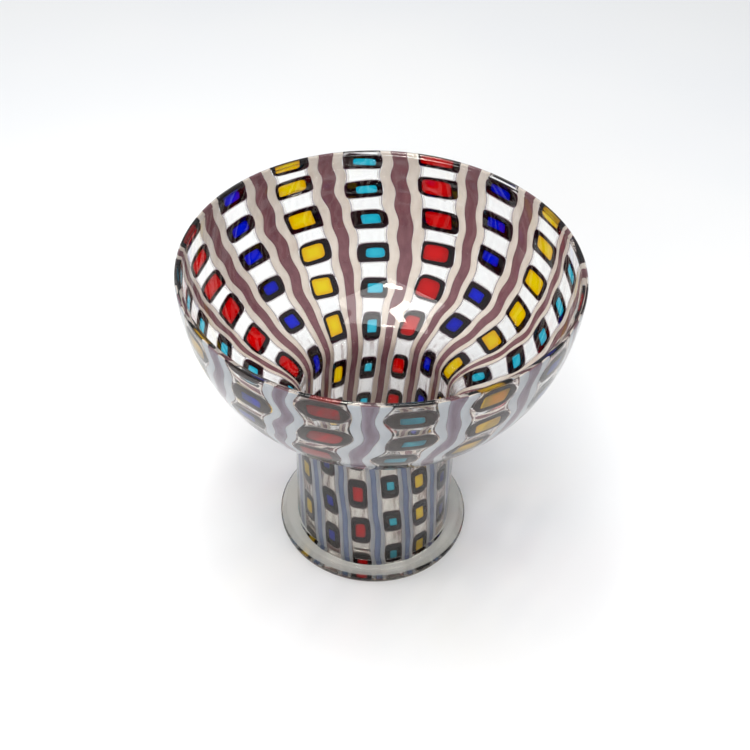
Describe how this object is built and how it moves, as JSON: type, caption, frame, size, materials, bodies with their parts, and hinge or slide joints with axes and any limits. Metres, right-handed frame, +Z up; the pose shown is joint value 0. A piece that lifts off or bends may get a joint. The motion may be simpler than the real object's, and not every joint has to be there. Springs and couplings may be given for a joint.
{
  "type": "footed mosaic glass bowl",
  "caption": "Round blown-glass bowl on a hollow cylindrical foot with a clear disc under it, its wall a mosaic of coloured tiles between wavy striped canes.",
  "frame": {"origin": "centre of the underside of the foot disc, on the surface that the bowl stands on", "axes": "+Z up, along the bowl's axis, from the foot to the mouth; -Y towards the viewer of the bowl; +X to the viewer's right"},
  "size_m": [0.218, 0.218, 0.2],
  "materials": {
    "clear_glass": "fire-polished clear glass",
    "dark_amethyst_glass": "glossy, nearly black amethyst glass",
    "turquoise_glass": "glossy transparent turquoise glass",
    "red_glass": "glossy transparent red glass",
    "blue_glass": "glossy transparent cobalt blue glass",
    "yellow_glass": "glossy transparent yellow glass",
    "amethyst_glass": "glossy translucent amethyst glass",
    "lattimo_glass": "glossy milk-white opaline glass"
  },
  "bodies": {
    "root": {"clear_bubble": "clear_glass", "foot_disc": "clear_glass", "turquoise_column_01_jackets": "dark_amethyst_glass", "red_column_02_jackets": "dark_amethyst_glass", "blue_column_03_jackets": "dark_amethyst_glass", "yellow_column_04_jackets": "dark_amethyst_glass", "turquoise_column_05_jackets": "dark_amethyst_glass", "red_column_06_jackets": "dark_amethyst_glass", "blue_column_07_jackets": "dark_amethyst_glass", "yellow_column_08_jackets": "dark_amethyst_glass", "turquoise_column_09_jackets": "dark_amethyst_glass", "red_column_10_jackets": "dark_amethyst_glass", "blue_column_11_jackets": "dark_amethyst_glass", "yellow_column_12_jackets": "dark_amethyst_glass", "turquoise_column_13_jackets": "dark_amethyst_glass", "red_column_14_jackets": "dark_amethyst_glass", "blue_column_15_jackets": "dark_amethyst_glass", "yellow_column_16_jackets": "dark_amethyst_glass", "turquoise_column_01_cores": "turquoise_glass", "red_column_02_cores": "red_glass", "blue_column_03_cores": "blue_glass", "yellow_column_04_cores": "yellow_glass", "turquoise_column_05_cores": "turquoise_glass", "red_column_06_cores": "red_glass", "blue_column_07_cores": "blue_glass", "yellow_column_08_cores": "yellow_glass", "turquoise_column_09_cores": "turquoise_glass", "red_column_10_cores": "red_glass", "blue_column_11_cores": "blue_glass", "yellow_column_12_cores": "yellow_glass", "turquoise_column_13_cores": "turquoise_glass", "red_column_14_cores": "red_glass", "blue_column_15_cores": "blue_glass", "yellow_column_16_cores": "yellow_glass", "amethyst_cane_01": "amethyst_glass", "amethyst_cane_02": "amethyst_glass", "amethyst_cane_03": "amethyst_glass", "amethyst_cane_04": "amethyst_glass", "amethyst_cane_05": "amethyst_glass", "amethyst_cane_06": "amethyst_glass", "amethyst_cane_07": "amethyst_glass", "amethyst_cane_08": "amethyst_glass", "amethyst_cane_09": "amethyst_glass", "amethyst_cane_10": "amethyst_glass", "amethyst_cane_11": "amethyst_glass", "amethyst_cane_12": "amethyst_glass", "amethyst_cane_13": "amethyst_glass", "amethyst_cane_14": "amethyst_glass", "amethyst_cane_15": "amethyst_glass", "amethyst_cane_16": "amethyst_glass", "lattimo_stripes_1": "lattimo_glass", "lattimo_stripes_2": "lattimo_glass", "lattimo_stripes_3": "lattimo_glass", "lattimo_stripes_4": "lattimo_glass", "clear_spacers_1": "clear_glass", "clear_spacers_2": "clear_glass", "clear_spacers_3": "clear_glass", "clear_spacers_4": "clear_glass"}
  },
  "joints": []
}
